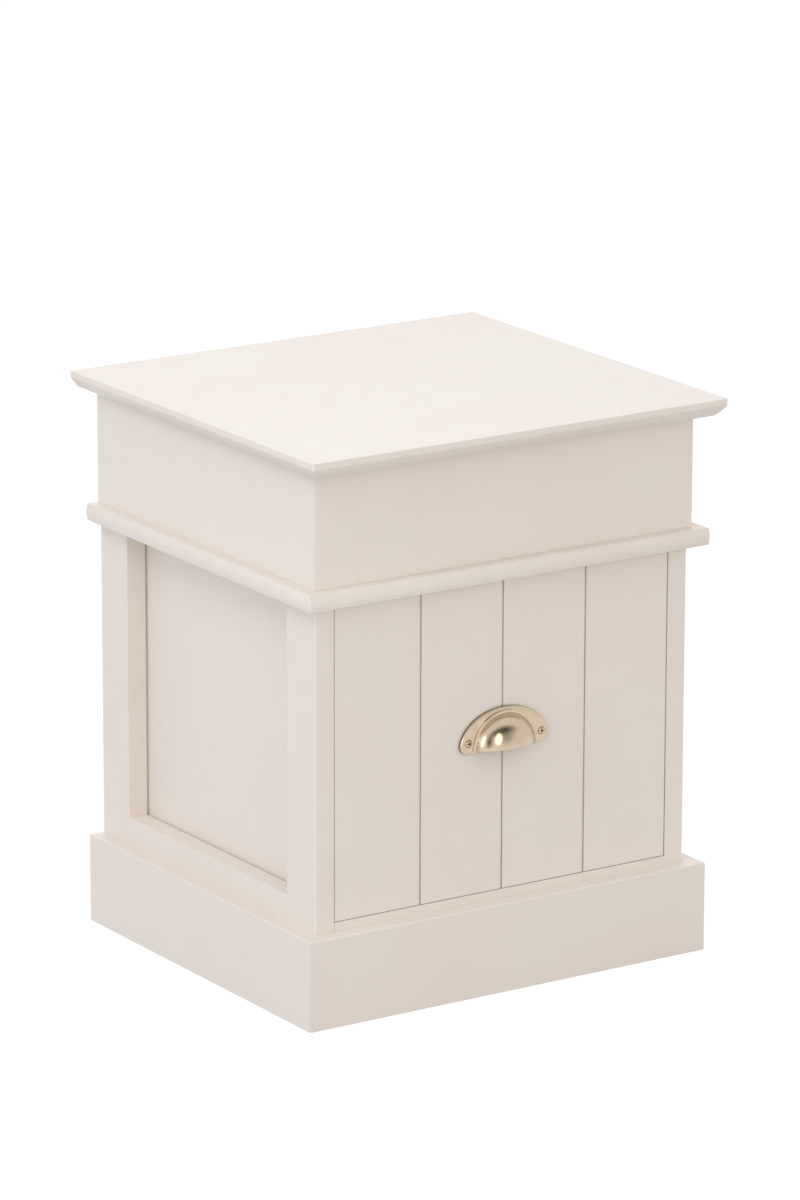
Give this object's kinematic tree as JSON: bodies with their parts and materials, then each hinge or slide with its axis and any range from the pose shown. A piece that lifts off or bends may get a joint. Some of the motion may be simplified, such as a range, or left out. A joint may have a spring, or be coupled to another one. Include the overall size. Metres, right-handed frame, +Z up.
{
  "type": "bedside chest",
  "caption": "Painted bedside chest: moulded top, deep fixed frieze, panelled sides, mitred plinth and a deep planked drawer with a cup pull on roller runners.",
  "frame": {"origin": "on the floor under the middle of the top board's outline", "axes": "+Z up, -Y out of the drawer front, +X to the right of someone who faces the front"},
  "size_m": [0.422, 0.393, 0.5],
  "materials": {
    "cream_paint": "satin cream-white paint on wood board",
    "pale_board": "clear-sealed pale wood board",
    "brushed_nickel": "warm brushed nickel",
    "epoxy_steel": "white epoxy coat on folded steel",
    "zinc_steel": "bright zinc plate",
    "nylon": "natural white nylon"
  },
  "bodies": {
    "cabinet": {"top_board": "cream_paint", "frieze_front": "cream_paint", "frieze_left": "cream_paint", "frieze_right": "cream_paint", "frieze_back": "cream_paint", "waist_board": "cream_paint", "front_stile_left": "cream_paint", "front_stile_right": "cream_paint", "rear_stile_left": "cream_paint", "rear_stile_right": "cream_paint", "bottom_rail_left": "cream_paint", "bottom_rail_right": "cream_paint", "side_panel_left": "cream_paint", "side_panel_right": "cream_paint", "bottom_board": "cream_paint", "back_panel": "pale_board", "plinth_front": "cream_paint", "plinth_left": "cream_paint", "plinth_right": "cream_paint", "plinth_back": "cream_paint", "cabinet_runner_left": "epoxy_steel", "cabinet_runner_right": "epoxy_steel", "front_roller_pin_left": "zinc_steel", "front_roller_pin_right": "zinc_steel"},
    "drawer": {"drawer_front": "cream_paint", "drawer_side_left": "pale_board", "drawer_side_right": "pale_board", "drawer_back": "pale_board", "drawer_bottom": "pale_board", "drawer_runner_left": "epoxy_steel", "drawer_runner_right": "epoxy_steel", "rear_roller_pin_left": "zinc_steel", "rear_roller_pin_right": "zinc_steel", "cup_pull": "brushed_nickel", "pull_screw_left": "brushed_nickel", "pull_screw_right": "brushed_nickel"},
    "front_roller_body_left": {"front_roller_left": "nylon"},
    "front_roller_body_right": {"front_roller_right": "nylon"},
    "rear_roller_body_left": {"rear_roller_left": "nylon"},
    "rear_roller_body_right": {"rear_roller_right": "nylon"}
  },
  "joints": [
    {"name": "drawer_slide", "type": "slide", "parent": "cabinet", "child": "drawer", "axis": [0, -1, 0], "range_m": [0, 0.225]},
    {"name": "front_roller_spin_left", "type": "hinge", "parent": "cabinet", "child": "front_roller_body_left", "pos_m": [-0.1598, -0.1346, 0.1165], "axis": [1, 0, 0], "continuous": true},
    {"name": "front_roller_spin_right", "type": "hinge", "parent": "cabinet", "child": "front_roller_body_right", "pos_m": [0.1598, -0.1346, 0.1165], "axis": [1, 0, 0], "continuous": true},
    {"name": "rear_roller_spin_left", "type": "hinge", "parent": "drawer", "child": "rear_roller_body_left", "pos_m": [-0.1585, 0.1401, 0.1143], "axis": [1, 0, 0], "continuous": true},
    {"name": "rear_roller_spin_right", "type": "hinge", "parent": "drawer", "child": "rear_roller_body_right", "pos_m": [0.1585, 0.1401, 0.1143], "axis": [1, 0, 0], "continuous": true}
  ],
  "couplings": [
    {"joint": "front_roller_spin_left", "follows": "drawer_slide", "rad_per_m": 117.65},
    {"joint": "front_roller_spin_right", "follows": "drawer_slide", "rad_per_m": 117.65},
    {"joint": "rear_roller_spin_left", "follows": "drawer_slide", "rad_per_m": 117.65},
    {"joint": "rear_roller_spin_right", "follows": "drawer_slide", "rad_per_m": 117.65}
  ]
}
